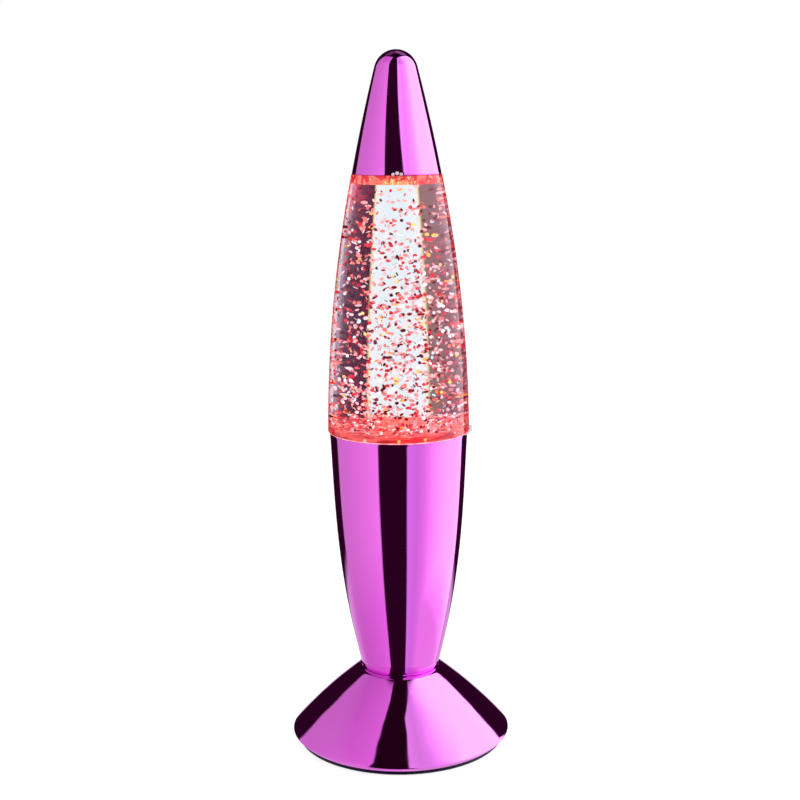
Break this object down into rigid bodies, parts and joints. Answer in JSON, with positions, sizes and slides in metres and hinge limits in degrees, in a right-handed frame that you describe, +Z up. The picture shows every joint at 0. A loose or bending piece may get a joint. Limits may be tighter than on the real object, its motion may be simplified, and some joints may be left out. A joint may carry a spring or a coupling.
{
  "type": "glitter lamp",
  "caption": "Rocket-shaped glitter lamp: clear liquid bottle between a plated cap and stem on a cone foot, stirred by a magnetic drive and lit from below.",
  "frame": {"origin": "on the table under the middle of the foot", "axes": "+Z up along the lamp's axis, -Y towards the front, +X to the right seen from the front; the door's tabs are at the front and its screw at the back"},
  "size_m": [0.1092, 0.1092, 0.34],
  "materials": {
    "plated": "mirror-bright purple metal plating on moulded plastic",
    "clear": "polished clear acrylic",
    "liquid": "clear liquid",
    "glitter": "metallised film flakes",
    "silicone": "soft translucent silicone",
    "white": "moulded white",
    "black": "fine matt moulded black",
    "pad": "matt rubber",
    "steel": "bright zinc-plated steel",
    "spring_brass": "nickel-plated spring brass",
    "magnet": "nickel-plated magnet",
    "can": "plated motor can, weighed as a part-hollow motor",
    "board": "white-coated circuit board",
    "light": "clear light body",
    "chip": "black chip",
    "cell": "wrapped dry cell with a bare nub"
  },
  "bodies": {
    "lamp": {"top_cap": "plated", "bottle": "clear", "bottle_lid": "clear", "filler_stopper": "silicone", "bottle_floor": "clear", "liquid_fill": "liquid", "glitter_flakes": "glitter", "pivot_pin": "steel", "pin_retainer": "steel", "motor_can": "can", "motor_end_cap": "white", "motor_terminals": "spring_brass", "motor_deck": "white", "deck_screws": "steel", "led_board": "board", "board_screws": "steel", "light_bodies": "light", "control_chip": "chip", "stem": "plated", "stem_screws": "steel", "foot": "plated", "base_plate": "black", "base_screws": "steel", "rubber_pads": "pad", "contact_plates": "spring_brass", "contact_leaves": "spring_brass", "switch_body": "black", "cell_1": "cell", "cell_2": "cell", "cell_3": "cell"},
    "drive": {"motor_shaft": "steel", "magnet_carrier": "white", "drive_magnets": "magnet"},
    "stirring": {"stirrer": "white", "stirrer_magnets": "magnet"},
    "door": {"battery_door": "black", "door_screw": "steel"},
    "lever": {"switch_lever": "black"}
  },
  "joints": [
    {"name": "drive_spin", "type": "hinge", "parent": "lamp", "child": "drive", "pos_m": [0, 0, 0.15], "axis": [0, 0, 1], "continuous": true},
    {"name": "stirrer_spin", "type": "hinge", "parent": "lamp", "child": "stirring", "pos_m": [0, 0, 0.164], "axis": [0, 0, 1], "continuous": true},
    {"name": "battery_door", "type": "hinge", "parent": "lamp", "child": "door", "pos_m": [0, -0.02955, 0.0004], "axis": [-1, 0, 0], "range_deg": [0, 45]},
    {"name": "power_switch", "type": "slide", "parent": "lamp", "child": "lever", "axis": [0, 1, 0], "range_m": [-0.003, 0]}
  ],
  "couplings": [
    {"joint": "stirrer_spin", "follows": "drive_spin", "ratio": 1}
  ]
}
